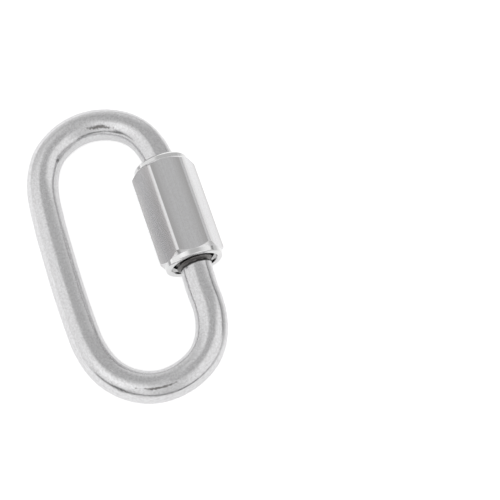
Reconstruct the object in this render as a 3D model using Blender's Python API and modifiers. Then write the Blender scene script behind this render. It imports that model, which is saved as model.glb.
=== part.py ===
# Chain quick link: a bent oval bar whose open leg is closed by a hexagonal sleeve nut.
# +Y runs along the link, the nut's leg is at +X, and Z is up from the surface that the link lies on.

from math import asin, copysign, cos, pi, radians, sin, tan

import bmesh
import bpy
from mathutils import Matrix

mm = 0.001

# Driving dimensions of the bent bar
bar_diameter = 3.5 * mm
inner_length = 27.6 * mm
inner_width = 10.1 * mm
plain_side_fullness = 2.0  # exponent of each bow's outline on the plain leg's side: 2 is an ellipse
nut_side_fullness = 2.2  # the bows are a little squarer on the nut's side

# The two threaded ends that face each other inside the nut
thread_crest_height = 0.25 * mm  # a rolled thread stands proud of its bar
thread_run_out = 0.35 * mm
thread_engagement = 2.0 * mm  # length of the upper end inside the shut nut
thread_past_nut = 0.5 * mm  # lower thread that shows below the shut nut
opening_gap = 5.0 * mm
tip_chamfer = 0.4 * mm

# The sleeve nut
nut_length = 12.3 * mm
shut_reach_over_bend = 0.55 * mm  # the shut nut stands this far over the start of the top bend
open_reach_over_bend = 3.15 * mm  # the open nut runs this far over the start of the bottom bend
running_clearance = 0.05 * mm
mouth_step = 0.5 * mm  # the lower mouth is wider than the bore, to pass over the bend
mouth_recess = 0.5 * mm
passage_step = 0.27 * mm  # the passage behind the mouth, also wider than the bore
passage_end = 2.7 * mm  # how deep the passage reaches from the nut's lower end
mouth_lead_in = 0.08 * mm
upper_lead_in = 0.3 * mm
rim_wall = 0.6 * mm
rim_edge = 0.1 * mm
upper_collar_height = 0.5 * mm
lower_collar_height = 0.6 * mm
shoulder_width = 0.05 * mm  # from the turned collars out to the flats
shoulder_rise = 0.9  # length along the nut for each unit of radius
long_edge_round = 0.3 * mm
nut_turn = radians(4.4)  # how far the nut happens to stand turned on its thread, at most 10 degrees

# How finely the round forms are cut
bar_bevel_resolution = 10
bend_segments = 48
turned_steps = 72
edge_round_segments = 3
cutter_margin = 1.0 * mm

# Sizes that follow from those above
bar_radius = bar_diameter / 2
leg_offset = (inner_width + bar_diameter) / 2
nut_travel = opening_gap + thread_engagement
leg_straight_length = nut_length - shut_reach_over_bend + nut_travel - open_reach_over_bend
leg_half_length = leg_straight_length / 2
bend_rise = (inner_length + bar_diameter) / 2 - leg_half_length
thread_radius = bar_radius + thread_crest_height
bore_radius = thread_radius + running_clearance
passage_radius = bore_radius + passage_step
mouth_radius = bore_radius + mouth_step
collar_radius = mouth_radius + rim_wall
nut_half_flats = collar_radius + shoulder_width
nut_corner_radius = nut_half_flats / cos(pi / 6)
edge_radius = long_edge_round * tan(pi / 3)
edge_centre = nut_corner_radius - edge_radius / cos(pi / 6)
edge_step = pi / 3 / edge_round_segments
nut_half_width = edge_centre * cos(nut_turn) + edge_radius * cos(edge_step / 2 - nut_turn)
nut_rest_height = edge_centre * cos(pi / 6 - nut_turn) + edge_radius * cos(nut_turn)

nut_top = leg_half_length + shut_reach_over_bend
nut_middle = nut_top - nut_length / 2
upper_tip = nut_top - thread_engagement
lower_tip = upper_tip - opening_gap
upper_thread_end = leg_half_length
lower_thread_end = nut_top - nut_length - thread_past_nut

# The link lies on one long edge of the nut and on its plain leg, so its plane leans a little
rest_lean = asin((nut_rest_height - bar_radius) / (2 * leg_offset))
rest_height = (nut_rest_height + bar_radius) / 2
leg_reach = leg_offset * cos(rest_lean)
sideways_shift = (nut_half_width - bar_radius) / 2  # puts the origin under the middle of the box


def clear_scene():
    for old in list(bpy.data.objects):
        bpy.data.objects.remove(old, do_unlink=True)


def new_collection(name, hidden_in_render=False):
    collection = bpy.data.collections.new(name)
    collection.hide_render = hidden_in_render
    bpy.context.scene.collection.children.link(collection)
    return collection


def steel(name, colour, roughness):
    material = bpy.data.materials.new(name)
    material.use_nodes = True
    shader = material.node_tree.nodes["Principled BSDF"]
    shader.inputs["Base Color"].default_value = (*colour, 1)
    shader.inputs["Metallic"].default_value = 1
    shader.inputs["Roughness"].default_value = roughness
    return material


def add_empty(name, collection, location, turn):
    empty = bpy.data.objects.new(name, None)
    empty.location = location
    empty.rotation_euler = (0, turn, 0)
    empty.empty_display_size = bar_diameter
    collection.objects.link(empty)
    return empty


def threaded_end(tip, thread_end):
    """Places and radii along a leg from a chamfered tip, past its thread, to the plain bar."""
    inward = 1 if thread_end > tip else -1
    steps = [
        (tip, thread_radius - tip_chamfer),
        (tip + inward * tip_chamfer, thread_radius),
        (thread_end - inward * thread_run_out, thread_radius),
        (thread_end, bar_radius),
    ]
    return [((leg_offset, y), radius) for y, radius in steps]


def bend(side):
    """The bow that joins the two legs, as two quarters of an oval: side is 1 at the top and -1 at the bottom."""
    points = []
    for step in range(bend_segments + 1):
        turn = pi * step / bend_segments
        x = side * leg_offset * cos(turn)
        fullness = nut_side_fullness if x > 0 else plain_side_fullness
        x = copysign(leg_offset * abs(cos(turn)) ** (2 / fullness), x)
        y = side * (leg_half_length + bend_rise * max(sin(turn), 0) ** (2 / fullness))
        points.append(((x, y), bar_radius))
    return points


def make_link_bar(collection, carrier):
    upper_end = threaded_end(upper_tip, upper_thread_end)
    lower_end = threaded_end(lower_tip, lower_thread_end)
    path = upper_end + bend(1)[1:] + bend(-1) + lower_end[::-1]

    curve = bpy.data.curves.new("link_bar", "CURVE")
    curve.dimensions = "3D"
    curve.twist_mode = "Z_UP"
    curve.bevel_depth = bar_radius
    curve.bevel_resolution = bar_bevel_resolution
    curve.use_fill_caps = True
    spline = curve.splines.new("POLY")
    spline.points.add(len(path) - 1)
    for point, ((x, y), radius) in zip(spline.points, path):
        point.co = (x, y, 0, 1)
        point.radius = radius / bar_radius
    spline.use_smooth = True
    curve.materials.append(steel("tumbled_stainless_bar", (0.62, 0.61, 0.61), 0.28))

    bar = bpy.data.objects.new("link_bar", curve)
    bar.parent = carrier
    collection.objects.link(bar)
    return bar


def turned_solid(name, profile, collection):
    """A solid of revolution about Z. The profile runs from top to bottom, from axis to axis."""
    mesh = bpy.data.meshes.new(name)
    points = [(radius, 0, height) for radius, height in profile]
    edges = [(index, index + 1) for index in range(len(points) - 1)]
    mesh.from_pydata(points, edges, [])
    solid = bpy.data.objects.new(name, mesh)
    screw = solid.modifiers.new("turn", "SCREW")
    screw.axis = "Z"
    screw.steps = turned_steps
    screw.render_steps = turned_steps
    screw.use_merge_vertices = True
    screw.merge_threshold = 0.000001
    solid.hide_render = True
    solid.display_type = "WIRE"
    collection.objects.link(solid)
    return solid


def end_turning(end, collar_height):
    """Half of the nut's turned outline: one end's rim, its collar, and the shoulder out past the corners."""
    reach = nut_corner_radius + cutter_margin
    steps = [
        (collar_radius - rim_edge, 0),
        (collar_radius, rim_edge),
        (collar_radius, collar_height),
        (reach, collar_height + (reach - collar_radius) * shoulder_rise),
    ]
    return [(radius, end * (nut_length / 2 - depth)) for radius, depth in steps]


def make_turned_outline(cutters):
    upper_end = end_turning(1, upper_collar_height)
    lower_end = end_turning(-1, lower_collar_height)
    profile = [(0, nut_length / 2)] + upper_end + lower_end[::-1] + [(0, -nut_length / 2)]
    return turned_solid("turned_outline", profile, cutters)


def make_bore(cutters):
    """The plain bore at the thread's crest size, with a wider passage and mouth at its lower end."""
    top = nut_length / 2
    bottom = -top
    passage_top = bottom + passage_end
    profile = [
        (0, top + cutter_margin),
        (bore_radius + upper_lead_in, top + cutter_margin),
        (bore_radius + upper_lead_in, top),
        (bore_radius, top - upper_lead_in),
        (bore_radius, passage_top + passage_step),
        (passage_radius, passage_top),
        (passage_radius, bottom + mouth_recess),
        (mouth_radius, bottom + mouth_recess),
        (mouth_radius, bottom + mouth_lead_in),
        (mouth_radius + mouth_lead_in, bottom),
        (mouth_radius + mouth_lead_in, bottom - cutter_margin),
        (0, bottom - cutter_margin),
    ]
    return turned_solid("bore", profile, cutters)


def hexagonal_blank(name):
    """A hexagonal prism along Z with rounded long edges, two corners on X and two flats facing Y."""
    blank = bmesh.new()
    bmesh.ops.create_cone(
        blank,
        cap_ends=True,
        segments=6,
        radius1=nut_corner_radius,
        radius2=nut_corner_radius,
        depth=nut_length + 2 * cutter_margin,
    )
    bmesh.ops.rotate(blank, verts=blank.verts, matrix=Matrix.Rotation(radians(30), 3, "Z"))
    long_edges = [edge for edge in blank.edges if abs(edge.verts[0].co.z - edge.verts[1].co.z) > nut_length]
    bmesh.ops.bevel(
        blank,
        geom=long_edges,
        offset=long_edge_round,
        offset_type="OFFSET",
        segments=edge_round_segments,
        profile=0.5,
        affect="EDGES",
    )
    mesh = bpy.data.meshes.new(name)
    blank.to_mesh(mesh)
    blank.free()
    return mesh


def make_sleeve_nut(collection, cutters, carrier):
    mesh = hexagonal_blank("sleeve_nut")
    mesh.materials.append(steel("turned_stainless_nut", (0.6, 0.6, 0.6), 0.35))
    nut = bpy.data.objects.new("sleeve_nut", mesh)
    nut.parent = carrier
    nut.rotation_euler = (radians(-90), 0, 0)
    collection.objects.link(nut)
    for operation, other in (("INTERSECT", make_turned_outline(cutters)), ("DIFFERENCE", make_bore(cutters))):
        other.parent = nut
        boolean = nut.modifiers.new(operation.lower(), "BOOLEAN")
        boolean.operation = operation
        boolean.solver = "EXACT"
        boolean.object = other
    return nut


clear_scene()
quick_link = new_collection("chain_quick_link")
shapers = new_collection("cutters", hidden_in_render=True)
link_plane = add_empty("link_plane", quick_link, (-sideways_shift, 0, rest_height), -rest_lean)
nut_place = (leg_reach - sideways_shift, nut_middle, nut_rest_height)
nut_axis = add_empty("nut_axis", quick_link, nut_place, nut_turn)
make_link_bar(quick_link, link_plane)
make_sleeve_nut(quick_link, shapers, nut_axis)
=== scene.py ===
from math import asin, atan2, cos, exp, hypot, pi, radians, sin

import bmesh
import bpy
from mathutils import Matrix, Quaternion, Vector


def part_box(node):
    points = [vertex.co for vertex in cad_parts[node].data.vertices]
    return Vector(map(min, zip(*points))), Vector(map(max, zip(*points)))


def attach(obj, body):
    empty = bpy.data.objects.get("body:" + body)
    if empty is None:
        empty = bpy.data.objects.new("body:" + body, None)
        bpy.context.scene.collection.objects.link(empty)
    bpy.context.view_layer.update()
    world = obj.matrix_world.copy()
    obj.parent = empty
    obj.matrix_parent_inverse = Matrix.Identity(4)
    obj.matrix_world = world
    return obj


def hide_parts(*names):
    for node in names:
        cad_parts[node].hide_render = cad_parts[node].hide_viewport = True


mm = 0.001

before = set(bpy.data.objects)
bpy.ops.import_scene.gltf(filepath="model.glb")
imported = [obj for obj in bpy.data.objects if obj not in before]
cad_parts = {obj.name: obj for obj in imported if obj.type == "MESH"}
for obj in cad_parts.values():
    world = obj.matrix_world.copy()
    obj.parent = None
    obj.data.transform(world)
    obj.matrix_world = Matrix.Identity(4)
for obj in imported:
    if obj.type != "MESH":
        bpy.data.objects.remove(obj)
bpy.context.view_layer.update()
barLow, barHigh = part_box("link_bar")
nutLow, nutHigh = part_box("sleeve_nut")
print("frame loaded:", ", ".join(sorted(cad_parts)))

# The bent bar: 3.5 mm stainless rod, bent cold round a former
bar = {
    "radius": 1.75 * mm,
    "legSpacing": 13.6 * mm,
    "legHalfLength": 7.8 * mm,
    "bowCrownRadius": 6.21 * mm,  # each bow is three arcs, tightest at its crown
    "upperTip": 6.35 * mm,
    "lowerTip": 1.35 * mm,
    "lowerThreadEnd": -4.45 * mm,
    # where the rod is off its even oval: place along the straightened rod, spread, outwards, in mm
    "wander": [
        (25.6, 2.0, 0.30),
        (14.0, 1.0, 0.08),
        (8.8, 1.8, -0.19),
        (-2.0, 4.2, 0.16),
        (-9.6, 1.6, -0.09),
        (-15.5, 1.5, -0.07),
        (-25.0, 2.2, 0.32),
        (-31.5, 1.6, -0.12),
    ],
    "sides": 72,
    "bowSideSteps": 26,
    "bowCrownSteps": 60,
    "legSteps": 40,
    "runOutSteps": 10,
    "smoothAngle": 40,
    "bendFadeIn": 3.0 * mm,  # height of each bow over which the stretched grain sets in
    "threadFadeIn": 0.25 * mm,  # length over which the thread's own tone sets in
}

# Its rolled thread, M4 coarse, which stands proud of the rod
thread = {
    "crestRadius": 2.0 * mm,
    "rootRadius": 1.57 * mm,
    "pitch": 0.7 * mm,
    "crestShare": 0.125,  # of the pitch
    "rootShare": 0.2,
    "stepsPerPitch": 12,
    "tipChamfer": 0.4 * mm,
    "fadeOut": 0.5 * mm,
    "clearance": 0.05 * mm,
    "nutCrestRadius": 1.89 * mm,  # clears the plain rod, also where that wanders inside the open nut
}

# The sleeve nut: hexagonal bar, turned down at both ends, bored and threaded
nut = {
    "acrossFlats": 6.4 * mm,
    "turn": 4.4,  # degrees that it stands turned on its thread
    "longEdgeCut": 0.2 * mm,  # a narrow flat along each corner
    "upperCollarRadius": 3.05 * mm,
    "lowerCollarRadius": 3.19 * mm,
    "upperCollarHeight": 0.6 * mm,
    "lowerCollarHeight": 0.6 * mm,
    "upperRimEdge": 0.22 * mm,
    "lowerRimEdge": 0.1 * mm,
    "shoulderRise": 0.9,  # length along the nut for each unit of radius
    "brokenEdge": 0.05 * mm,
    "brokenEdgeAngle": 15,  # degrees between two faces from which their edge is broken
    "mouthRadius": 2.55 * mm,
    "mouthRecess": 0.5 * mm,
    "passageRadius": 2.32 * mm,
    "passageEnd": 2.7 * mm,
    "mouthLeadIn": 0.08 * mm,
    "upperLeadIn": 0.3 * mm,
    "turnedSides": 144,
    "boreSides": 96,
    "smoothAngle": 30,
    "overCut": 1.0 * mm,  # how far the blank and the cutters reach past the finished nut
}

# Where both lie: the nut's axis comes from the frame, and the plain leg rests on the floor
nutAxisX = (nutLow.x + nutHigh.x) / 2
nutAxisZ = (nutLow.z + nutHigh.z) / 2
nutMiddle = (nutAxisX, (nutLow.y + nutHigh.y) / 2, nutAxisZ)
cornerRadius = nut["acrossFlats"] / 2 / cos(pi / 6)
boreRootRadius = thread["crestRadius"] + thread["clearance"]
threadStep = thread["pitch"] / thread["stepsPerPitch"]
tipsMiddle = (bar["upperTip"] + bar["lowerTip"]) / 2
legOffset = bar["legSpacing"] / 2
lean = asin((nutAxisZ - bar["radius"]) / bar["legSpacing"])
linkMiddle = (nutAxisX - legOffset * cos(lean), 0, nutAxisZ - legOffset * sin(lean))
bowRise = barHigh.y - bar["radius"] - bar["legHalfLength"]
sideRadius = (legOffset ** 2 + bowRise ** 2 - 2 * bowRise * bar["bowCrownRadius"]) / (
    2 * (legOffset - bar["bowCrownRadius"])
)
sideAngle = atan2(bowRise - bar["bowCrownRadius"], sideRadius - legOffset)


# Small helpers

def dropSelection():
    if bpy.context.object and bpy.context.object.mode != "OBJECT":
        bpy.ops.object.mode_set(mode="OBJECT")
    bpy.ops.object.select_all(action="DESELECT")


def makeActive(piece):
    dropSelection()
    piece.select_set(True)
    bpy.context.view_layer.objects.active = piece


def nameActive(name):
    piece = bpy.context.object
    piece.name = name
    piece.data.name = name
    return piece


def pickEdges(piece, wanted):
    bpy.ops.mesh.select_all(action="DESELECT")
    bpy.ops.mesh.select_mode(type="EDGE")
    mesh = bmesh.from_edit_mesh(piece.data)
    for edge in mesh.edges:
        if wanted(edge):
            edge.select_set(True)
    bmesh.update_edit_mesh(piece.data)


def closeUp(piece, mergeWithin=0.0002 * mm):
    makeActive(piece)
    bpy.ops.object.mode_set(mode="EDIT")
    bpy.ops.mesh.select_all(action="SELECT")
    bpy.ops.mesh.remove_doubles(threshold=mergeWithin)
    bpy.ops.mesh.normals_make_consistent(inside=False)
    bpy.ops.object.mode_set(mode="OBJECT")


def applyModifier(piece, kind, **settings):
    makeActive(piece)
    modifier = piece.modifiers.new(kind.lower(), kind)
    for name, value in settings.items():
        setattr(modifier, name, value)
    bpy.ops.object.modifier_apply(modifier=modifier.name)


def smoothStep(value):
    value = min(max(value, 0), 1)
    return value * value * (3 - 2 * value)


# The thread, the same helix for the rod and for the nut, so that they mesh

def threadRadius(along, around):
    turn = (along / thread["pitch"] - around / (2 * pi)) % 1
    fromCrest = abs(turn - 0.5) * 2
    flank = 1 - thread["crestShare"] - thread["rootShare"]
    depth = min(max((fromCrest - thread["crestShare"]) / flank, 0), 1)
    return thread["crestRadius"] - depth * (thread["crestRadius"] - thread["rootRadius"])


# Both threads stand proud of the rod, fade out into it, and are chamfered at their tips
def rodRadius(along, around):
    if along > tipsMiddle:
        fromTip = along - bar["upperTip"]
        toPlainRod = bar["legHalfLength"] - along
    else:
        fromTip = bar["lowerTip"] - along
        toPlainRod = along - bar["lowerThreadEnd"]
    share = smoothStep(toPlainRod / thread["fadeOut"])
    radius = bar["radius"] + share * (threadRadius(along, around) - bar["radius"])
    return min(radius, thread["crestRadius"] - thread["tipChamfer"] + max(fromTip, 0))


def boreRadius(along, around):
    threaded = max(thread["nutCrestRadius"], threadRadius(along, around) + thread["clearance"])
    fromTop = boreRootRadius + nut["upperLeadIn"] - (nutHigh.y - along)
    fromPassage = nut["passageRadius"] - (along - nutLow.y - nut["passageEnd"])
    return max(threaded, fromTop, fromPassage)


def moveRadially(piece, radiusAt, lowest, highest):
    nearAxis = 2 * thread["crestRadius"]  # the plain leg is farther from the nut's axis than this
    for vertex in piece.data.vertices:
        x, along, z = vertex.co.x - nutAxisX, vertex.co.y, vertex.co.z - nutAxisZ
        distance = hypot(x, z)
        if not lowest < along < highest or not 0 < distance < nearAxis:
            continue
        grow = radiusAt(along, atan2(x, z)) / distance
        vertex.co.x = nutAxisX + x * grow
        vertex.co.z = nutAxisZ + z * grow


# The bar: a round face drawn out and bent, from the lower thread's tip to the upper one's

# Where a point of the bent rod is on the straightened one: how far outwards, how far along from the
# middle of the plain leg, and which way outwards points there
def unbent(x, y):
    half = bar["legHalfLength"]
    crown = bar["bowCrownRadius"]
    bowLength = 2 * sideRadius * sideAngle + crown * (pi - 2 * sideAngle)
    end = 1 if y > 0 else -1
    past = abs(y) - half
    if past <= 0 and x < 0:
        return -x - legOffset, y, (-1, 0)
    if past <= 0:
        end = 1 if y > tipsMiddle else -1
        return x - legOffset, end * (2 * half + bowLength) - y, (1, 0)
    fromPlainLeg = atan2(past, sideRadius - legOffset - x)
    fromOpenLeg = atan2(past, sideRadius - legOffset + x)
    if fromPlainLeg < sideAngle:
        outward = hypot(past, sideRadius - legOffset - x) - sideRadius
        along = half + sideRadius * fromPlainLeg
        return outward, end * along, (-cos(fromPlainLeg), end * sin(fromPlainLeg))
    if fromOpenLeg < sideAngle:
        outward = hypot(past, sideRadius - legOffset + x) - sideRadius
        along = half + bowLength - sideRadius * fromOpenLeg
        return outward, end * along, (cos(fromOpenLeg), end * sin(fromOpenLeg))
    above = past - (bowRise - crown)
    turned = atan2(above, -x)
    along = half + sideRadius * sideAngle + crown * (turned - sideAngle)
    return hypot(x, above) - crown, end * along, (-cos(turned), end * sin(turned))


def wanderAt(along):
    return sum(
        outward * mm * exp(-(((along / mm - place) / spread) ** 2) / 2)
        for place, spread, outward in bar["wander"]
    )


def makeLinkBar():
    half = bar["legHalfLength"]
    crown = bar["bowCrownRadius"]
    dropSelection()
    bpy.ops.mesh.primitive_circle_add(
        vertices=bar["sides"],
        radius=bar["radius"],
        fill_type="NGON",
        location=(legOffset, bar["lowerTip"], 0),
        rotation=(pi / 2, 0, 0),
    )
    piece = nameActive("bent_bar")
    bpy.ops.object.mode_set(mode="EDIT")
    bpy.ops.mesh.select_all(action="SELECT")

    def drawOut(length, steps):
        for _ in range(steps):
            bpy.ops.mesh.extrude_region_move(TRANSFORM_OT_translate={"value": (0, length / steps, 0)})

    def bend(centreX, centreY, angle, steps):
        bpy.ops.mesh.spin(steps=steps, angle=angle, center=(centreX, centreY, 0), axis=(0, 0, 1))

    def bow(end):
        bend(end * (sideRadius - legOffset), end * half, sideAngle, bar["bowSideSteps"])
        bend(0, end * (half + bowRise - crown), pi - 2 * sideAngle, bar["bowCrownSteps"])
        bend(end * (legOffset - sideRadius), end * half, sideAngle, bar["bowSideSteps"])

    lowerThread = bar["lowerTip"] - bar["lowerThreadEnd"]
    drawOut(-lowerThread, round(lowerThread / threadStep))
    drawOut(-half - bar["lowerThreadEnd"], bar["runOutSteps"])
    bow(-1)
    drawOut(2 * half, bar["legSteps"])
    bow(1)
    upperThread = half - bar["upperTip"]
    drawOut(-upperThread, round(upperThread / threadStep))
    bpy.ops.object.mode_set(mode="OBJECT")
    bpy.ops.object.transform_apply(location=True, rotation=True, scale=True)
    return piece


def markRod(piece):
    attributes = piece.data.attributes
    for name, kind in (("straightRod", "FLOAT_VECTOR"), ("bentRod", "FLOAT"), ("rolledThread", "FLOAT")):
        attributes.new(name, kind, "POINT")
    straight, bent, rolled = attributes["straightRod"], attributes["bentRod"], attributes["rolledThread"]
    for vertex in piece.data.vertices:
        x, y, side = vertex.co
        outward, along, towards = unbent(x, y)
        straight.data[vertex.index].vector = (outward, side, along)
        bent.data[vertex.index].value = smoothStep((abs(y) - bar["legHalfLength"]) / bar["bendFadeIn"])
        fromEnd = min(y - bar["lowerThreadEnd"], bar["legHalfLength"] - y)
        rolled.data[vertex.index].value = smoothStep(fromEnd / bar["threadFadeIn"]) if x > 0 else 0
        shift = wanderAt(along)
        vertex.co += Vector((towards[0] * shift, towards[1] * shift, -towards[0] * shift * sin(lean)))


def placeLinkBar(piece):
    makeActive(piece)
    piece.rotation_euler = (0, -lean, 0)
    piece.location = linkMiddle
    bpy.ops.object.transform_apply(location=True, rotation=True, scale=True)
    moveRadially(piece, rodRadius, bar["lowerThreadEnd"], bar["legHalfLength"])
    closeUp(piece)
    bpy.ops.object.shade_smooth_by_angle(angle=radians(bar["smoothAngle"]))


# The nut: a hexagonal blank, turned at both ends, then bored and threaded

# A solid turned about the nut's axis. The profile holds radii and places along the axis
def turnedShape(name, profile, sides):
    dropSelection()
    radius, along = profile[0]
    bpy.ops.mesh.primitive_circle_add(
        vertices=sides,
        radius=radius,
        fill_type="NGON",
        location=(nutAxisX, along, nutAxisZ),
        rotation=(pi / 2, 0, 0),
    )
    piece = nameActive(name)
    bpy.ops.object.mode_set(mode="EDIT")
    bpy.ops.mesh.select_all(action="SELECT")
    for nextRadius, nextAlong in profile[1:]:
        bpy.ops.mesh.extrude_region_move(TRANSFORM_OT_translate={"value": (0, nextAlong - along, 0)})
        if nextRadius != radius:
            grow = nextRadius / radius
            bpy.ops.transform.resize(value=(grow, 1, grow), center_override=(nutAxisX, nextAlong, nutAxisZ))
        radius, along = nextRadius, nextAlong
    bpy.ops.object.mode_set(mode="OBJECT")
    bpy.ops.object.transform_apply(location=True, rotation=True, scale=True)
    closeUp(piece)
    return piece


def endProfile(face, inward, collar, rimEdge, collarHeight):
    reach = cornerRadius + nut["overCut"]
    return [
        (collar - rimEdge, face),
        (collar, face + inward * rimEdge),
        (collar, face + inward * collarHeight),
        (reach, face + inward * (collarHeight + (reach - collar) * nut["shoulderRise"])),
    ]


def makeBlank():
    length = nutHigh.y - nutLow.y
    dropSelection()
    bpy.ops.mesh.primitive_cylinder_add(
        vertices=6,
        radius=cornerRadius,
        depth=length + 2 * nut["overCut"],
        location=nutMiddle,
        rotation=(pi / 2, 0, 0),
    )
    piece = nameActive("hexagonal_sleeve")
    bpy.ops.object.mode_set(mode="EDIT")
    bpy.ops.mesh.select_all(action="SELECT")
    bpy.ops.transform.rotate(
        value=radians(30 - nut["turn"]),  # from flats at the sides to one on top, less the turn
        orient_axis="Y",
        center_override=nutMiddle,
    )
    pickEdges(piece, lambda edge: edge.calc_length() > length)
    bpy.ops.mesh.bevel(offset=nut["longEdgeCut"], offset_type="OFFSET", segments=1)
    bpy.ops.object.mode_set(mode="OBJECT")
    bpy.ops.object.transform_apply(location=True, rotation=True, scale=True)
    return piece


def makeTurnedOutline():
    upperEnd = endProfile(
        nutHigh.y, -1, nut["upperCollarRadius"], nut["upperRimEdge"], nut["upperCollarHeight"]
    )
    lowerEnd = endProfile(
        nutLow.y, 1, nut["lowerCollarRadius"], nut["lowerRimEdge"], nut["lowerCollarHeight"]
    )
    return turnedShape("turned_outline", upperEnd + lowerEnd[::-1], nut["turnedSides"])


def makeThreadedBore():
    top = nutHigh.y
    passageTop = nutLow.y + nut["passageEnd"]
    threadLength = top - passageTop
    threadSteps = round(threadLength / threadStep)
    topRadius = boreRootRadius + nut["upperLeadIn"]
    lowerRadius = nut["mouthRadius"] + nut["mouthLeadIn"]
    profile = [(topRadius, top + nut["overCut"]), (topRadius, top)]
    for step in range(1, threadSteps):
        profile.append((boreRootRadius, top - threadLength * step / threadSteps))
    profile += [
        (nut["passageRadius"], passageTop),
        (nut["passageRadius"], nutLow.y + nut["mouthRecess"]),
        (nut["mouthRadius"], nutLow.y + nut["mouthRecess"]),
        (nut["mouthRadius"], nutLow.y + nut["mouthLeadIn"]),
        (lowerRadius, nutLow.y),
        (lowerRadius, nutLow.y - nut["overCut"]),
    ]
    bore = turnedShape("threaded_bore", profile, nut["boreSides"])
    moveRadially(bore, boreRadius, passageTop + threadStep / 2, top - threadStep / 2)
    return bore


def makeSleeveNut():
    piece = makeBlank()
    outline = makeTurnedOutline()
    bore = makeThreadedBore()
    applyModifier(piece, "BOOLEAN", operation="INTERSECT", object=outline)
    closeUp(piece)
    applyModifier(
        piece,
        "BEVEL",
        width=nut["brokenEdge"],
        segments=2,
        limit_method="ANGLE",
        angle_limit=radians(nut["brokenEdgeAngle"]),
    )
    applyModifier(piece, "BOOLEAN", operation="DIFFERENCE", object=bore)
    bpy.data.objects.remove(outline, do_unlink=True)
    bpy.data.objects.remove(bore, do_unlink=True)
    closeUp(piece)
    bpy.ops.object.shade_smooth_by_angle(angle=radians(nut["smoothAngle"]))
    applyModifier(piece, "WEIGHTED_NORMAL", keep_sharp=True)
    return piece


linkBar = makeLinkBar()
markRod(linkBar)
placeLinkBar(linkBar)
print("bar modelled:", len(linkBar.data.polygons), "faces")
sleeveNut = makeSleeveNut()
print("nut modelled:", len(sleeveNut.data.polygons), "faces")


# Finishes

def linear(hexColour):
    parts = [int(hexColour[i:i + 2], 16) / 255 for i in (1, 3, 5)]
    return (*[p / 12.92 if p <= 0.04045 else ((p + 0.055) / 1.055) ** 2.4 for p in parts], 1)


# Adds one node. An input is a value, a socket or a node, whose first live output is then used
def addNode(tree, kind, inputs=None, **settings):
    node = tree.nodes.new("ShaderNode" + kind)
    for name, value in settings.items():
        setattr(node, name, value)
    for name, value in (inputs or {}).items():
        if isinstance(value, bpy.types.Node):
            value = next(output for output in value.outputs if output.enabled)
        if isinstance(value, bpy.types.NodeSocket):
            tree.links.new(value, node.inputs[name])
        else:
            node.inputs[name].default_value = value
    return node


def newTree(owner):
    owner.use_nodes = True
    owner.node_tree.nodes.clear()
    return owner.node_tree


# Stainless rod, cold drawn, bent and then barrel tumbled: bright and soft, with draw marks along it,
# shallow dents that make its reflections waver, fine pits, and speckle where bending stretched the grain
rodFinish = {
    "steel": "#D9D9DA",
    "steelShade": "#CAC9CA",
    "drawMarksInShade": 0.3,  # how much they count in it, beside the tumbled grain
    "shadeNoise": (0.5, 0.85),  # where both together turn from the steel to its shade
    # painted dark reflections on the bows, put in the steel as marks
    "paintedReflection": "#7E7C7B",
    # middle and half size of each painted reflection: outward, sideways and along the straightened rod
    "paintedReflections": [
        ((-0.88 * mm, 1.51 * mm, 21.4 * mm), (0.24 * mm, 0.30 * mm, 1.7 * mm)),
        ((0.58 * mm, 1.65 * mm, -18.4 * mm), (0.13 * mm, 0.30 * mm, 2.0 * mm)),
    ],
    "paintedReflectionRaggedness": 2.4,  # how much the grain moves a painted reflection's edge, in half sizes
    "paintedReflectionEdge": (2.4, 1.6),  # from clean steel to the full painted reflection, in half sizes with the grain added
    "threadCrest": "#C6C4C3",
    # painted shade in the roots of the thread
    "shadedThreadRoot": "#8E8C8B",
    "threadTone": (1.60 * mm, 1.97 * mm),  # radius where the painted shade of the root ends and the crest's tone is full
    "shadedLowerCrest": "#9A9897",  # painted shade: the lower thread, inside and just below the nut's mouth, is darker
    "shadedLowerRoot": "#333130",
    "lowerThreadShade": (-20 * mm, -30 * mm),  # along the straightened rod, where that painted shade sets in on the way to its lower end
    "roughness": 0.15,
    "threadRoughness": 0.34,
    "patch": 1.1 * mm,  # size of the patches that are rougher and more speckled than others
    "patchNoise": (0.3, 0.7),
    "patchRoughness": 0.08,
    "speckleNoise": (0.40, 0.62),
    "leastSpeckle": 0.2,
    "drawMark": 0.16 * mm,
    "drawMarkStretch": 0.025,
    "drawMarkDepth": 0.0005 * mm,
    "dent": 1.5 * mm,
    "dentStretch": 0.4,
    "dentDepth": 0.048 * mm,
    "tumbleGrain": 0.24 * mm,  # real tumbling leaves finer grain than this, which wouldn't show
    "tumbleDepth": 0.0022 * mm,
    "bendGrain": 0.30 * mm,  # also coarser than the real grain
    "bendRoughness": 0.6,  # how much its finer grain counts
    "bendDepth": 0.011 * mm,
    "pit": 0.34 * mm,
    "pitNoise": (0.68, 0.78),  # where a pit starts and where it is as deep as a scratch
    "scratchWidth": 0.13 * mm,
    "scratchDepth": 0.005 * mm,
    "scratchNoise": (0.70, 0.76),
    "scratchRoughness": 0.12,
    # turn in radians and stretch of each set of scratches
    "scratchSets": [((0, 0.35, 0.2), (1, 1, 0.07)), ((0.6, 0, 0.4), (1, 0.08, 1))],
}


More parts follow.
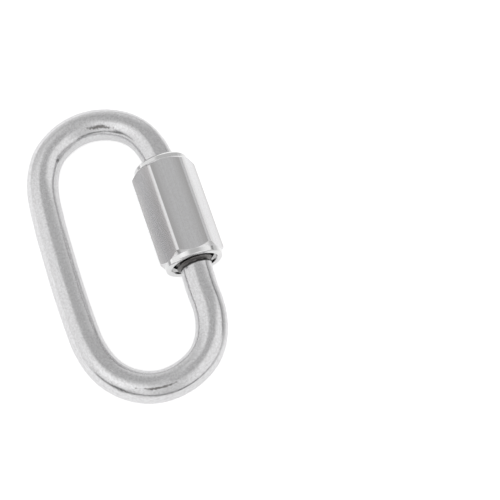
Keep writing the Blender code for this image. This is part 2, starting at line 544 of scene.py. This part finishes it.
def makeRodSteel():
    look = rodFinish
    material = bpy.data.materials.new("tumbled_stainless_rod")
    tree = newTree(material)
    rod = addNode(tree, "Attribute", attribute_name="straightRod").outputs["Vector"]
    bent = addNode(tree, "Attribute", attribute_name="bentRod").outputs["Fac"]
    rolled = addNode(tree, "Attribute", attribute_name="rolledThread").outputs["Fac"]
    section = addNode(tree, "VectorMath", {0: rod, 1: (1, 1, 0)}, operation="MULTIPLY")
    radius = addNode(tree, "VectorMath", {0: section}, operation="LENGTH")

    # patterns, each on the straightened rod
    stretched = addNode(tree, "Mapping", {"Vector": rod, "Scale": (1, 1, look["drawMarkStretch"])})
    drawMarks = addNode(tree, "TexNoise", {"Vector": stretched, "Scale": 1 / look["drawMark"], "Detail": 3})
    longer = addNode(tree, "Mapping", {"Vector": rod, "Scale": (1, 1, look["dentStretch"])})
    dents = addNode(tree, "TexNoise", {"Vector": longer, "Scale": 1 / look["dent"], "Detail": 1})
    tumble = addNode(tree, "TexNoise", {"Vector": rod, "Scale": 1 / look["tumbleGrain"], "Detail": 3})
    bendGrain = addNode(
        tree, "TexNoise",
        {"Vector": rod, "Scale": 1 / look["bendGrain"], "Detail": 3, "Roughness": look["bendRoughness"]},
    )
    patches = addNode(tree, "TexNoise", {"Vector": longer, "Scale": 1 / look["patch"], "Detail": 2})
    low, high = look["speckleNoise"]
    speckled = addNode(tree, "MapRange", {0: patches, 1: low, 2: high, 3: look["leastSpeckle"], 4: 1.0})
    speckle = addNode(tree, "Math", {0: bent, 1: speckled}, operation="MULTIPLY")
    speckle = addNode(tree, "Math", {0: speckle, 1: bendGrain}, operation="MULTIPLY")
    spots = addNode(tree, "TexNoise", {"Vector": rod, "Scale": 1 / look["pit"], "Detail": 1})
    low, high = look["pitNoise"]
    marks = addNode(tree, "MapRange", {0: spots, 1: low, 2: high}, interpolation_type="SMOOTHSTEP")
    low, high = look["scratchNoise"]
    for turn, stretch in look["scratchSets"]:
        across = addNode(tree, "Mapping", {"Vector": rod, "Rotation": turn, "Scale": stretch})
        lines = addNode(tree, "TexNoise", {"Vector": across, "Scale": 1 / look["scratchWidth"], "Detail": 1})
        scratch = addNode(tree, "MapRange", {0: lines, 1: low, 2: high}, interpolation_type="SMOOTHSTEP")
        marks = addNode(tree, "Math", {0: marks, 1: scratch}, operation="MAXIMUM")

    # relief, from the widest to the finest
    surface = addNode(tree, "Bump", {"Height": dents, "Distance": look["dentDepth"]})
    for height, depth in (
        (drawMarks, look["drawMarkDepth"]),
        (tumble, look["tumbleDepth"]),
        (speckle, look["bendDepth"]),
        (marks, -look["scratchDepth"]),
    ):
        surface = addNode(tree, "Bump", {"Height": height, "Distance": depth, "Normal": surface})

    # rougher in patches, in scratches and on the thread, which also has painted shade down to its root
    low, high = look["patchNoise"]
    ends = {1: low, 2: high, 3: look["roughness"], 4: look["roughness"] + look["patchRoughness"]}
    duller = addNode(tree, "MapRange", {0: patches, **ends})
    duller = addNode(
        tree, "Math", {0: marks, 1: look["scratchRoughness"], 2: duller}, operation="MULTIPLY_ADD"
    )
    roughness = addNode(tree, "Mix", {0: rolled, 2: duller, 3: look["threadRoughness"]}, data_type="FLOAT")
    shade = addNode(
        tree, "Math", {0: drawMarks, 1: look["drawMarksInShade"], 2: tumble}, operation="MULTIPLY_ADD"
    )
    low, high = look["shadeNoise"]
    shade = addNode(tree, "MapRange", {0: shade, 1: low, 2: high})
    ends = {6: linear(look["steel"]), 7: linear(look["steelShade"])}
    plain = addNode(tree, "Mix", {0: shade, **ends}, data_type="RGBA")

    # a painted dark reflection on each bow, put in the steel as a mark with ragged edges
    clean, full = look["paintedReflectionEdge"]
    for middle, size in look["paintedReflections"]:
        reach = addNode(tree, "VectorMath", {0: rod, 1: middle}, operation="SUBTRACT")
        reach = addNode(tree, "VectorMath", {0: reach, 1: size}, operation="DIVIDE")
        reach = addNode(tree, "VectorMath", {0: reach}, operation="LENGTH").outputs["Value"]
        reach = addNode(
            tree, "Math", {0: bendGrain, 1: look["paintedReflectionRaggedness"], 2: reach}, operation="MULTIPLY_ADD"
        )
        reflectionShare = addNode(tree, "MapRange", {0: reach, 1: clean, 2: full}, interpolation_type="SMOOTHSTEP")
        plain = addNode(tree, "Mix", {0: reflectionShare, 6: plain, 7: linear(look["paintedReflection"])}, data_type="RGBA")

    # painted shade in the thread's roots, lighter to its crests, and more painted shade on the lower thread
    low, high = look["threadTone"]
    fromRoot = addNode(tree, "MapRange", {0: radius, 1: low, 2: high})
    place = addNode(tree, "SeparateXYZ", {0: rod}).outputs["Z"]
    # painted shade over the lower thread, setting in along the rod towards it
    clean, full = look["lowerThreadShade"]
    lowerThreadShade = addNode(tree, "MapRange", {0: place, 1: clean, 2: full})
    ends = {6: linear(look["shadedThreadRoot"]), 7: linear(look["shadedLowerRoot"])}
    root = addNode(tree, "Mix", {0: lowerThreadShade, **ends}, data_type="RGBA")
    ends = {6: linear(look["threadCrest"]), 7: linear(look["shadedLowerCrest"])}
    crest = addNode(tree, "Mix", {0: lowerThreadShade, **ends}, data_type="RGBA")
    threaded = addNode(tree, "Mix", {0: fromRoot, 6: root, 7: crest}, data_type="RGBA")
    colour = addNode(tree, "Mix", {0: rolled, 6: plain, 7: threaded}, data_type="RGBA")
    shader = addNode(
        tree, "BsdfPrincipled",
        {"Base Color": colour, "Metallic": 1.0, "Roughness": roughness, "Normal": surface},
    )
    addNode(tree, "OutputMaterial", {"Surface": shader})
    return material


# Stainless hexagonal bar, drawn: smooth satin flats with faint streaks along them. Its collars and thread
# are cut, which leaves fine rings.
# The thread inside has painted shade, the flats painted shade beside their corners, and one flank painted
# light.
# Distances from the axis and along a flank come in pairs: where a tone starts and where it is full
nutFinish = {
    "steel": "#DFDFE0",
    "streak": "#D8D7D8",
    "streakNoise": (0.85, 1.2),
    "cornerShadeSteel": "#CCCBCB",  # painted shade: the flats are darker beside their corners
    "cornerShade": (3.26 * mm, 3.5 * mm),
    "longEdge": (3.585 * mm, 3.592 * mm),  # where the narrow flat along each corner starts
    "flankFacing": -55.6,  # degrees from straight up to the flank that faces the plain leg
    "flank": (3.12 * mm, 3.18 * mm),  # from the axis straight towards that flank
    # painted light on that flank: a painted highlight along its lower edge, and painted shade towards its
    # upper one
    "flankPaintedLight": [("#F2F1F1", -0.3 * mm, -1.7 * mm), ("#C9C7C7", -0.1 * mm, 1.1 * mm)],
    "turnedSteel": "#E0E0E0",
    "collarEdge": 0.02 * mm,
    "bore": (2.3 * mm, 2.2 * mm),
    # painted shade inside the bore, deepest in the thread's roots
    "shadedBoreCrest": "#8E8C8B",
    "shadedBoreRoot": "#3C3A39",
    "boreTone": (1.85 * mm, 2.0 * mm),  # from the painted shade of the crest to the deeper painted shade of the root
    "roughness": 0.17,
    "turnedRoughness": 0.14,
    "boreRoughness": 0.35,
    "patch": 1.4 * mm,  # width of the streaks that are rougher than others
    "patchNoise": (0.3, 0.7),
    "patchRoughness": 0.05,
    "streakWidth": 0.14 * mm,
    "streakStretch": 0.02,
    "streakDepth": 0.0004 * mm,
    "grain": 0.22 * mm,  # drawn coarser than the real satin grain, which wouldn't show
    "grainDepth": 0.003 * mm,
    "toolFeed": 0.12 * mm,  # spacing of the turned rings, drawn wider than the real 0.05 mm
    "toolStretch": 0.015,
    "toolDepth": 0.0012 * mm,
    "scratchWidth": 0.12 * mm,
    "scratchTurn": 0.5,  # radians
    "scratchStretch": 0.07,
    "scratchNoise": (0.72, 0.78),
    "scratchDepth": 0.002 * mm,
}


def makeNutSteel():
    look = nutFinish
    material = bpy.data.materials.new("drawn_stainless_hexagon")
    tree = newTree(material)
    place = addNode(tree, "TexCoord").outputs["Object"]
    fromMiddle = addNode(tree, "VectorMath", {0: place, 1: nutMiddle}, operation="SUBTRACT")
    along = addNode(tree, "SeparateXYZ", {0: fromMiddle}).outputs["Y"]
    section = addNode(tree, "VectorMath", {0: fromMiddle, 1: (1, 0, 1)}, operation="MULTIPLY")
    radius = addNode(tree, "VectorMath", {0: section}, operation="LENGTH").outputs["Value"]

    # where the rings are: on both ends as far as their collars reach, and on the thread inside
    half = (nutHigh.y - nutLow.y) / 2
    upperStart = half - nut["upperCollarHeight"]
    lowerStart = nut["lowerCollarHeight"] - half
    upper = addNode(tree, "MapRange", {0: along, 1: upperStart - look["collarEdge"], 2: upperStart})
    lower = addNode(tree, "MapRange", {0: along, 1: lowerStart + look["collarEdge"], 2: lowerStart})
    onCollar = addNode(tree, "Math", {0: upper, 1: lower}, operation="MAXIMUM")
    start, full = look["bore"]
    inside = addNode(tree, "MapRange", {0: radius, 1: start, 2: full})
    turned = addNode(tree, "Math", {0: onCollar, 1: inside}, operation="MAXIMUM")

    # patterns
    drawn = addNode(tree, "Mapping", {"Vector": fromMiddle, "Scale": (1, look["streakStretch"], 1)})
    streaks = addNode(tree, "TexNoise", {"Vector": drawn, "Scale": 1 / look["streakWidth"], "Detail": 3})
    patches = addNode(tree, "TexNoise", {"Vector": drawn, "Scale": 1 / look["patch"], "Detail": 1})
    grain = addNode(tree, "TexNoise", {"Vector": fromMiddle, "Scale": 1 / look["grain"], "Detail": 3})
    widened = (look["toolStretch"], 1, look["toolStretch"])
    flattened = addNode(tree, "Mapping", {"Vector": fromMiddle, "Scale": widened})
    rings = addNode(tree, "TexNoise", {"Vector": flattened, "Scale": 1 / look["toolFeed"], "Detail": 1})
    rings = addNode(tree, "Math", {0: rings, 1: turned}, operation="MULTIPLY")
    askew = {"Rotation": (0, 0, look["scratchTurn"]), "Scale": (look["scratchStretch"], 1, 1)}
    askew = addNode(tree, "Mapping", {"Vector": fromMiddle, **askew})
    lines = addNode(tree, "TexNoise", {"Vector": askew, "Scale": 1 / look["scratchWidth"], "Detail": 1})
    low, high = look["scratchNoise"]
    scratches = addNode(tree, "MapRange", {0: lines, 1: low, 2: high}, interpolation_type="SMOOTHSTEP")

    # relief
    surface = addNode(tree, "Bump", {"Height": streaks, "Distance": look["streakDepth"]})
    for height, depth in (
        (grain, look["grainDepth"]),
        (rings, look["toolDepth"]),
        (scratches, -look["scratchDepth"]),
    ):
        surface = addNode(tree, "Bump", {"Height": height, "Distance": depth, "Normal": surface})

    # colour and roughness, from the flats to the collars to the bore
    streaky = addNode(tree, "Math", {0: streaks, 1: grain}, operation="ADD")
    low, high = look["streakNoise"]
    streaky = addNode(tree, "MapRange", {0: streaky, 1: low, 2: high})
    ends = {6: linear(look["steel"]), 7: linear(look["streak"])}
    flats = addNode(tree, "Mix", {0: streaky, **ends}, data_type="RGBA")
    # painted shade on the flats beside their corners, but not on the narrow flat along each corner
    start, full = look["cornerShade"]
    cornerShade = addNode(tree, "MapRange", {0: radius, 1: start, 2: full})
    start, full = look["longEdge"]
    besideEdge = addNode(tree, "MapRange", {0: radius, 1: start, 2: full, 3: 1.0, 4: 0.0})
    cornerShade = addNode(tree, "Math", {0: cornerShade, 1: besideEdge}, operation="MULTIPLY")
    flats = addNode(tree, "Mix", {0: cornerShade, 6: flats, 7: linear(look["cornerShadeSteel"])}, data_type="RGBA")
    facing = radians(look["flankFacing"])
    outwards = (sin(facing), 0, cos(facing))
    upwards = (cos(facing), 0, -sin(facing))
    out = addNode(tree, "VectorMath", {0: fromMiddle, 1: outwards}, operation="DOT_PRODUCT")
    start, full = look["flank"]
    onFlank = addNode(tree, "MapRange", {0: out.outputs["Value"], 1: start, 2: full})
    up = addNode(tree, "VectorMath", {0: fromMiddle, 1: upwards}, operation="DOT_PRODUCT")
    # painted highlight and painted shade on the flank that faces the plain leg
    for tone, start, full in look["flankPaintedLight"]:
        share = addNode(tree, "MapRange", {0: up.outputs["Value"], 1: start, 2: full})
        share = addNode(tree, "Math", {0: share, 1: onFlank}, operation="MULTIPLY")
        flats = addNode(tree, "Mix", {0: share, 6: flats, 7: linear(tone)}, data_type="RGBA")
    outside = addNode(tree, "Mix", {0: onCollar, 6: flats, 7: linear(look["turnedSteel"])}, data_type="RGBA")
    # painted shade inside the bore, deepest in the thread's roots
    start, full = look["boreTone"]
    fromCrest = addNode(tree, "MapRange", {0: radius, 1: start, 2: full})
    ends = {6: linear(look["shadedBoreCrest"]), 7: linear(look["shadedBoreRoot"])}
    bore = addNode(tree, "Mix", {0: fromCrest, **ends}, data_type="RGBA")
    colour = addNode(tree, "Mix", {0: inside, 6: outside, 7: bore}, data_type="RGBA")
    low, high = look["patchNoise"]
    ends = {1: low, 2: high, 3: look["roughness"], 4: look["roughness"] + look["patchRoughness"]}
    satin = addNode(tree, "MapRange", {0: patches, **ends})
    outer = addNode(tree, "Mix", {0: onCollar, 2: satin, 3: look["turnedRoughness"]}, data_type="FLOAT")
    roughness = addNode(tree, "Mix", {0: inside, 2: outer, 3: look["boreRoughness"]}, data_type="FLOAT")
    shader = addNode(
        tree, "BsdfPrincipled",
        {"Base Color": colour, "Metallic": 1.0, "Roughness": roughness, "Normal": surface},
    )
    addNode(tree, "OutputMaterial", {"Surface": shader})
    return material


linkBar.data.materials.append(makeRodSteel())
sleeveNut.data.materials.append(makeNutSteel())
print("finishes made")


# Floor, light and camera: white paper in a white tent, which has brighter walls, a lamp above and a
# few dark gaps. Each patch of the tent glows its own strength where all its directions count: one
# starts to count at its first cosine and counts fully at its second. Later patches cover earlier ones
studio = {
    "floorWidth": 3.0,  # metres
    "floorDrop": 0.002 * mm,  # keeps the paper just clear of the steel
    "floorColour": "#E6E6E6",
    "floorGlow": 0.60,  # for the camera, on top of the light that it scatters
    # how strongly the floor glows in the steel, from left to right in mm: less far out to the right
    "mirroredGlow": [(-20, 0.52), (-4, 0.46), (5, 0.42), (11, 0.52), (16, 0.35), (26, 0.0)],
    "tent": 0.60,
    "patches": {
        "left wall": (1.05, [((-1, 0, 0), 0.10, 0.36), ((0, -1, 0), -0.95, -0.4)]),
        "lamp": (1.28, [((-0.60, -0.14, 0.79), 0.93, 0.985)]),
        "right wall": (1.10, [((0.6, -0.8, 0), 0.10, 0.45)]),
        "back wall": (0.86, [((0, 1, 0), 0.65, 0.88), ((0, 0, -1), -0.6, -0.2)]),
        "door": (
            0.80,
            [((-0.13, -0.99, 0), 0.1, 0.5), ((1, 0, 0), -0.58, -0.25), ((-1, 0, 0), -0.32, 0.0)],
        ),
        "right gap": (0.28, [((0.99, 0.14, 0), 0.90, 0.97), ((0, 0, -1), -0.28, -0.1)]),
        "left seam": (0.26, [((-0.80, -0.52, 0.29), 0.975, 0.995)]),
        # a dark line where the paper ends in front, a little higher on its left
        "paper's end": (
            0.08,
            [
                ((0.23, 0.18, 1), -0.15, -0.02),
                ((-0.23, -0.18, -1), -0.12, 0.02),
                ((0.1, -0.99, 0), -0.1, 0.1),
            ],
        ),
    },
}


def makeFloor():
    dropSelection()
    bpy.ops.mesh.primitive_plane_add(size=studio["floorWidth"], location=(0, 0, -studio["floorDrop"]))
    floor = nameActive("paper_floor")
    material = bpy.data.materials.new("matt_white_paper")
    tree = newTree(material)
    rays = addNode(tree, "LightPath").outputs
    place = addNode(tree, "TexCoord").outputs["Object"]
    across = addNode(tree, "SeparateXYZ", {0: place}).outputs["X"]
    stops = studio["mirroredGlow"]
    left, right = stops[0][0], stops[-1][0]
    share = addNode(tree, "MapRange", {0: across, 1: left * mm, 2: right * mm})
    mirrored = addNode(tree, "ValToRGB", {0: share})
    elements = mirrored.color_ramp.elements
    for x, glow in stops[1:-1]:
        elements.new((x - left) / (right - left))
    for element, (x, glow) in zip(elements, stops):
        element.color = (glow, glow, glow, 1)
    direct = addNode(
        tree, "Math", {0: rays["Is Camera Ray"], 1: rays["Is Transmission Ray"]}, operation="MAXIMUM"
    )
    direct = addNode(tree, "Math", {0: direct, 1: studio["floorGlow"]}, operation="MULTIPLY")
    glow = addNode(tree, "Mix", {0: rays["Is Glossy Ray"], 2: direct, 3: mirrored}, data_type="FLOAT")
    paper = addNode(tree, "BsdfDiffuse", {"Color": linear(studio["floorColour"])})
    light = addNode(tree, "Emission", {"Color": (1, 1, 1, 1), "Strength": glow})
    both = addNode(tree, "AddShader", {0: paper, 1: light})
    addNode(tree, "OutputMaterial", {"Surface": both})
    floor.data.materials.append(material)
    return floor


def makeTent():
    world = bpy.data.worlds.new("white_light_tent")
    bpy.context.scene.world = world
    tree = newTree(world)
    sky = addNode(tree, "TexCoord").outputs["Generated"]
    light = studio["tent"]
    for glow, directions in studio["patches"].values():
        share = 1.0
        for direction, start, full in directions:
            aim = Vector(direction).normalized()
            cosine = addNode(tree, "VectorMath", {0: sky, 1: aim}, operation="DOT_PRODUCT").outputs["Value"]
            ramp = addNode(tree, "MapRange", {0: cosine, 1: start, 2: full}, interpolation_type="SMOOTHSTEP")
            share = addNode(tree, "Math", {0: share, 1: ramp}, operation="MULTIPLY")
        light = addNode(tree, "Mix", {0: share, 2: light, 3: glow}, data_type="FLOAT")
    cameraRay = addNode(tree, "LightPath").outputs["Is Camera Ray"]
    strength = addNode(tree, "Mix", {0: cameraRay, 2: light, 3: 1.0}, data_type="FLOAT")
    background = addNode(tree, "Background", {"Color": (1, 1, 1, 1), "Strength": strength})
    addNode(tree, "OutputWorld", {"Surface": background})


view = {
    "azimuth": -21.587,
    "elevation": 69.300,
    "roll": 2.943,
    "distance": 173.22 * mm,
    "aim": (12.044 * mm, -4.10 * mm, 2.778 * mm),
    "lens": 115.2,  # in mm, as is the width of the sensor
    "sensorWidth": 36,
    "nearest": 1.0 * mm,
    "farthest": 10.0,  # metres
}


def makeCamera():
    turn, rise = radians(view["azimuth"]), radians(view["elevation"])
    back = Vector((sin(turn) * cos(rise), -cos(turn) * cos(rise), sin(rise)))
    dropSelection()
    bpy.ops.object.camera_add(location=Vector(view["aim"]) + back * view["distance"])
    camera = nameActive("photograph_view")
    level = back.to_track_quat("Z", "Y")
    camera.rotation_euler = (level @ Quaternion((0, 0, 1), radians(view["roll"]))).to_euler()
    camera.data.sensor_width = view["sensorWidth"]
    camera.data.lens = view["lens"]
    camera.data.clip_start = view["nearest"]
    camera.data.clip_end = view["farthest"]
    bpy.context.scene.camera = camera


makeFloor()
makeTent()
makeCamera()
bpy.context.scene.view_settings.view_transform = "Standard"
print("studio ready")

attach(linkBar, "link")
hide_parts("link_bar")
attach(sleeveNut, "nut")
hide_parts("sleeve_nut")
